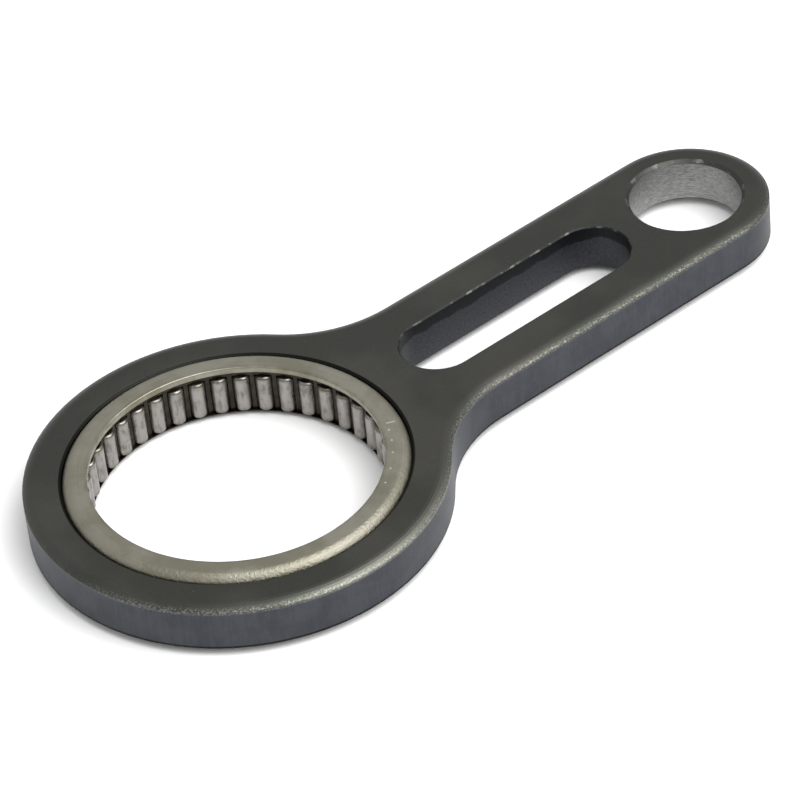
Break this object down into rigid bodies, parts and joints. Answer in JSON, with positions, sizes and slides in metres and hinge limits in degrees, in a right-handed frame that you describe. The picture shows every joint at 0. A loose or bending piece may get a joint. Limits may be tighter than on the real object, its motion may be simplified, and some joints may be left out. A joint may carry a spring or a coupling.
{
  "type": "connecting rod",
  "caption": "Flat slotted steel connecting rod with a caged needle bearing pressed into its big end and a plain pin bore in its small eye.",
  "frame": {"origin": "on the needle bearing's axis, at the middle of the rod's thickness", "axes": "+X runs along the shank from the bearing to the small eye, +Z is the axis of both bores and points out of the face with the rolled border, +Y is across the shank"},
  "size_m": [0.1226, 0.0574, 0.0086],
  "materials": {
    "rod_black_oxide": "black oxide, satin, worn bright along the outer edge",
    "cup_steel": "hardened and drawn, satin",
    "cage_steel": "pressed, dull and oily",
    "needle_steel": "ground, bright"
  },
  "bodies": {
    "rod": {"rod_body": "rod_black_oxide", "bearing_cup": "cup_steel"},
    "cage": {"needle_cage": "cage_steel"},
    "needle_01": {"needle_01": "needle_steel"},
    "needle_02": {"needle_02": "needle_steel"},
    "needle_03": {"needle_03": "needle_steel"},
    "needle_04": {"needle_04": "needle_steel"},
    "needle_05": {"needle_05": "needle_steel"},
    "needle_06": {"needle_06": "needle_steel"},
    "needle_07": {"needle_07": "needle_steel"},
    "needle_08": {"needle_08": "needle_steel"},
    "needle_09": {"needle_09": "needle_steel"},
    "needle_10": {"needle_10": "needle_steel"},
    "needle_11": {"needle_11": "needle_steel"},
    "needle_12": {"needle_12": "needle_steel"},
    "needle_13": {"needle_13": "needle_steel"},
    "needle_14": {"needle_14": "needle_steel"},
    "needle_15": {"needle_15": "needle_steel"},
    "needle_16": {"needle_16": "needle_steel"},
    "needle_17": {"needle_17": "needle_steel"},
    "needle_18": {"needle_18": "needle_steel"},
    "needle_19": {"needle_19": "needle_steel"},
    "needle_20": {"needle_20": "needle_steel"},
    "needle_21": {"needle_21": "needle_steel"},
    "needle_22": {"needle_22": "needle_steel"},
    "needle_23": {"needle_23": "needle_steel"},
    "needle_24": {"needle_24": "needle_steel"},
    "needle_25": {"needle_25": "needle_steel"},
    "needle_26": {"needle_26": "needle_steel"},
    "needle_27": {"needle_27": "needle_steel"},
    "needle_28": {"needle_28": "needle_steel"},
    "needle_29": {"needle_29": "needle_steel"},
    "needle_30": {"needle_30": "needle_steel"},
    "needle_31": {"needle_31": "needle_steel"},
    "needle_32": {"needle_32": "needle_steel"},
    "needle_33": {"needle_33": "needle_steel"},
    "needle_34": {"needle_34": "needle_steel"},
    "needle_35": {"needle_35": "needle_steel"},
    "needle_36": {"needle_36": "needle_steel"},
    "needle_37": {"needle_37": "needle_steel"},
    "needle_38": {"needle_38": "needle_steel"},
    "needle_39": {"needle_39": "needle_steel"},
    "needle_40": {"needle_40": "needle_steel"},
    "needle_41": {"needle_41": "needle_steel"},
    "needle_42": {"needle_42": "needle_steel"}
  },
  "joints": [
    {"name": "cage_spin", "type": "hinge", "parent": "rod", "child": "cage", "pos_m": [0, 0, 0], "axis": [0, 0, 1], "continuous": true},
    {"name": "needle_01_spin", "type": "hinge", "parent": "cage", "child": "needle_01", "pos_m": [0.02083, 0.0026, 0], "axis": [0, 0, 1], "continuous": true},
    {"name": "needle_02_spin", "type": "hinge", "parent": "cage", "child": "needle_02", "pos_m": [0.02022, 0.00567, 0], "axis": [0, 0, 1], "continuous": true},
    {"name": "needle_03_spin", "type": "hinge", "parent": "cage", "child": "needle_03", "pos_m": [0.01914, 0.00862, 0], "axis": [0, 0, 1], "continuous": true},
    {"name": "needle_04_spin", "type": "hinge", "parent": "cage", "child": "needle_04", "pos_m": [0.01765, 0.01138, 0], "axis": [0, 0, 1], "continuous": true},
    {"name": "needle_05_spin", "type": "hinge", "parent": "cage", "child": "needle_05", "pos_m": [0.01575, 0.01388, 0], "axis": [0, 0, 1], "continuous": true},
    {"name": "needle_06_spin", "type": "hinge", "parent": "cage", "child": "needle_06", "pos_m": [0.01351, 0.01607, 0], "axis": [0, 0, 1], "continuous": true},
    {"name": "needle_07_spin", "type": "hinge", "parent": "cage", "child": "needle_07", "pos_m": [0.01096, 0.01791, 0], "axis": [0, 0, 1], "continuous": true},
    {"name": "needle_08_spin", "type": "hinge", "parent": "cage", "child": "needle_08", "pos_m": [0.00817, 0.01934, 0], "axis": [0, 0, 1], "continuous": true},
    {"name": "needle_09_spin", "type": "hinge", "parent": "cage", "child": "needle_09", "pos_m": [0.0052, 0.02034, 0], "axis": [0, 0, 1], "continuous": true},
    {"name": "needle_10_spin", "type": "hinge", "parent": "cage", "child": "needle_10", "pos_m": [0.00211, 0.02089, 0], "axis": [0, 0, 1], "continuous": true},
    {"name": "needle_11_spin", "type": "hinge", "parent": "cage", "child": "needle_11", "pos_m": [-0.00103, 0.02097, 0], "axis": [0, 0, 1], "continuous": true},
    {"name": "needle_12_spin", "type": "hinge", "parent": "cage", "child": "needle_12", "pos_m": [-0.00414, 0.02058, 0], "axis": [0, 0, 1], "continuous": true},
    {"name": "needle_13_spin", "type": "hinge", "parent": "cage", "child": "needle_13", "pos_m": [-0.00717, 0.01974, 0], "axis": [0, 0, 1], "continuous": true},
    {"name": "needle_14_spin", "type": "hinge", "parent": "cage", "child": "needle_14", "pos_m": [-0.01003, 0.01845, 0], "axis": [0, 0, 1], "continuous": true},
    {"name": "needle_15_spin", "type": "hinge", "parent": "cage", "child": "needle_15", "pos_m": [-0.01266, 0.01675, 0], "axis": [0, 0, 1], "continuous": true},
    {"name": "needle_16_spin", "type": "hinge", "parent": "cage", "child": "needle_16", "pos_m": [-0.01502, 0.01467, 0], "axis": [0, 0, 1], "continuous": true},
    {"name": "needle_17_spin", "type": "hinge", "parent": "cage", "child": "needle_17", "pos_m": [-0.01704, 0.01227, 0], "axis": [0, 0, 1], "continuous": true},
    {"name": "needle_18_spin", "type": "hinge", "parent": "cage", "child": "needle_18", "pos_m": [-0.01868, 0.00959, 0], "axis": [0, 0, 1], "continuous": true},
    {"name": "needle_19_spin", "type": "hinge", "parent": "cage", "child": "needle_19", "pos_m": [-0.0199, 0.0067, 0], "axis": [0, 0, 1], "continuous": true},
    {"name": "needle_20_spin", "type": "hinge", "parent": "cage", "child": "needle_20", "pos_m": [-0.02067, 0.00366, 0], "axis": [0, 0, 1], "continuous": true},
    {"name": "needle_21_spin", "type": "hinge", "parent": "cage", "child": "needle_21", "pos_m": [-0.02099, 0.00054, 0], "axis": [0, 0, 1], "continuous": true},
    {"name": "needle_22_spin", "type": "hinge", "parent": "cage", "child": "needle_22", "pos_m": [-0.02083, -0.0026, 0], "axis": [0, 0, 1], "continuous": true},
    {"name": "needle_23_spin", "type": "hinge", "parent": "cage", "child": "needle_23", "pos_m": [-0.02022, -0.00567, 0], "axis": [0, 0, 1], "continuous": true},
    {"name": "needle_24_spin", "type": "hinge", "parent": "cage", "child": "needle_24", "pos_m": [-0.01914, -0.00862, 0], "axis": [0, 0, 1], "continuous": true},
    {"name": "needle_25_spin", "type": "hinge", "parent": "cage", "child": "needle_25", "pos_m": [-0.01765, -0.01138, 0], "axis": [0, 0, 1], "continuous": true},
    {"name": "needle_26_spin", "type": "hinge", "parent": "cage", "child": "needle_26", "pos_m": [-0.01575, -0.01388, 0], "axis": [0, 0, 1], "continuous": true},
    {"name": "needle_27_spin", "type": "hinge", "parent": "cage", "child": "needle_27", "pos_m": [-0.01351, -0.01607, 0], "axis": [0, 0, 1], "continuous": true},
    {"name": "needle_28_spin", "type": "hinge", "parent": "cage", "child": "needle_28", "pos_m": [-0.01096, -0.01791, 0], "axis": [0, 0, 1], "continuous": true},
    {"name": "needle_29_spin", "type": "hinge", "parent": "cage", "child": "needle_29", "pos_m": [-0.00817, -0.01934, 0], "axis": [0, 0, 1], "continuous": true},
    {"name": "needle_30_spin", "type": "hinge", "parent": "cage", "child": "needle_30", "pos_m": [-0.0052, -0.02034, 0], "axis": [0, 0, 1], "continuous": true},
    {"name": "needle_31_spin", "type": "hinge", "parent": "cage", "child": "needle_31", "pos_m": [-0.00211, -0.02089, 0], "axis": [0, 0, 1], "continuous": true},
    {"name": "needle_32_spin", "type": "hinge", "parent": "cage", "child": "needle_32", "pos_m": [0.00103, -0.02097, 0], "axis": [0, 0, 1], "continuous": true},
    {"name": "needle_33_spin", "type": "hinge", "parent": "cage", "child": "needle_33", "pos_m": [0.00414, -0.02058, 0], "axis": [0, 0, 1], "continuous": true},
    {"name": "needle_34_spin", "type": "hinge", "parent": "cage", "child": "needle_34", "pos_m": [0.00717, -0.01974, 0], "axis": [0, 0, 1], "continuous": true},
    {"name": "needle_35_spin", "type": "hinge", "parent": "cage", "child": "needle_35", "pos_m": [0.01003, -0.01845, 0], "axis": [0, 0, 1], "continuous": true},
    {"name": "needle_36_spin", "type": "hinge", "parent": "cage", "child": "needle_36", "pos_m": [0.01266, -0.01675, 0], "axis": [0, 0, 1], "continuous": true},
    {"name": "needle_37_spin", "type": "hinge", "parent": "cage", "child": "needle_37", "pos_m": [0.01502, -0.01467, 0], "axis": [0, 0, 1], "continuous": true},
    {"name": "needle_38_spin", "type": "hinge", "parent": "cage", "child": "needle_38", "pos_m": [0.01704, -0.01227, 0], "axis": [0, 0, 1], "continuous": true},
    {"name": "needle_39_spin", "type": "hinge", "parent": "cage", "child": "needle_39", "pos_m": [0.01868, -0.00959, 0], "axis": [0, 0, 1], "continuous": true},
    {"name": "needle_40_spin", "type": "hinge", "parent": "cage", "child": "needle_40", "pos_m": [0.0199, -0.0067, 0], "axis": [0, 0, 1], "continuous": true},
    {"name": "needle_41_spin", "type": "hinge", "parent": "cage", "child": "needle_41", "pos_m": [0.02067, -0.00366, 0], "axis": [0, 0, 1], "continuous": true},
    {"name": "needle_42_spin", "type": "hinge", "parent": "cage", "child": "needle_42", "pos_m": [0.02099, -0.00054, 0], "axis": [0, 0, 1], "continuous": true}
  ],
  "couplings": [
    {"joint": "needle_01_spin", "follows": "cage_spin", "ratio": -18.014},
    {"joint": "needle_02_spin", "follows": "cage_spin", "ratio": -18.014},
    {"joint": "needle_03_spin", "follows": "cage_spin", "ratio": -18.014},
    {"joint": "needle_04_spin", "follows": "cage_spin", "ratio": -18.014},
    {"joint": "needle_05_spin", "follows": "cage_spin", "ratio": -18.014},
    {"joint": "needle_06_spin", "follows": "cage_spin", "ratio": -18.014},
    {"joint": "needle_07_spin", "follows": "cage_spin", "ratio": -18.014},
    {"joint": "needle_08_spin", "follows": "cage_spin", "ratio": -18.014},
    {"joint": "needle_09_spin", "follows": "cage_spin", "ratio": -18.014},
    {"joint": "needle_10_spin", "follows": "cage_spin", "ratio": -18.014},
    {"joint": "needle_11_spin", "follows": "cage_spin", "ratio": -18.014},
    {"joint": "needle_12_spin", "follows": "cage_spin", "ratio": -18.014},
    {"joint": "needle_13_spin", "follows": "cage_spin", "ratio": -18.014},
    {"joint": "needle_14_spin", "follows": "cage_spin", "ratio": -18.014},
    {"joint": "needle_15_spin", "follows": "cage_spin", "ratio": -18.014},
    {"joint": "needle_16_spin", "follows": "cage_spin", "ratio": -18.014},
    {"joint": "needle_17_spin", "follows": "cage_spin", "ratio": -18.014},
    {"joint": "needle_18_spin", "follows": "cage_spin", "ratio": -18.014},
    {"joint": "needle_19_spin", "follows": "cage_spin", "ratio": -18.014},
    {"joint": "needle_20_spin", "follows": "cage_spin", "ratio": -18.014},
    {"joint": "needle_21_spin", "follows": "cage_spin", "ratio": -18.014},
    {"joint": "needle_22_spin", "follows": "cage_spin", "ratio": -18.014},
    {"joint": "needle_23_spin", "follows": "cage_spin", "ratio": -18.014},
    {"joint": "needle_24_spin", "follows": "cage_spin", "ratio": -18.014},
    {"joint": "needle_25_spin", "follows": "cage_spin", "ratio": -18.014},
    {"joint": "needle_26_spin", "follows": "cage_spin", "ratio": -18.014},
    {"joint": "needle_27_spin", "follows": "cage_spin", "ratio": -18.014},
    {"joint": "needle_28_spin", "follows": "cage_spin", "ratio": -18.014},
    {"joint": "needle_29_spin", "follows": "cage_spin", "ratio": -18.014},
    {"joint": "needle_30_spin", "follows": "cage_spin", "ratio": -18.014},
    {"joint": "needle_31_spin", "follows": "cage_spin", "ratio": -18.014},
    {"joint": "needle_32_spin", "follows": "cage_spin", "ratio": -18.014},
    {"joint": "needle_33_spin", "follows": "cage_spin", "ratio": -18.014},
    {"joint": "needle_34_spin", "follows": "cage_spin", "ratio": -18.014},
    {"joint": "needle_35_spin", "follows": "cage_spin", "ratio": -18.014},
    {"joint": "needle_36_spin", "follows": "cage_spin", "ratio": -18.014},
    {"joint": "needle_37_spin", "follows": "cage_spin", "ratio": -18.014},
    {"joint": "needle_38_spin", "follows": "cage_spin", "ratio": -18.014},
    {"joint": "needle_39_spin", "follows": "cage_spin", "ratio": -18.014},
    {"joint": "needle_40_spin", "follows": "cage_spin", "ratio": -18.014},
    {"joint": "needle_41_spin", "follows": "cage_spin", "ratio": -18.014},
    {"joint": "needle_42_spin", "follows": "cage_spin", "ratio": -18.014}
  ]
}
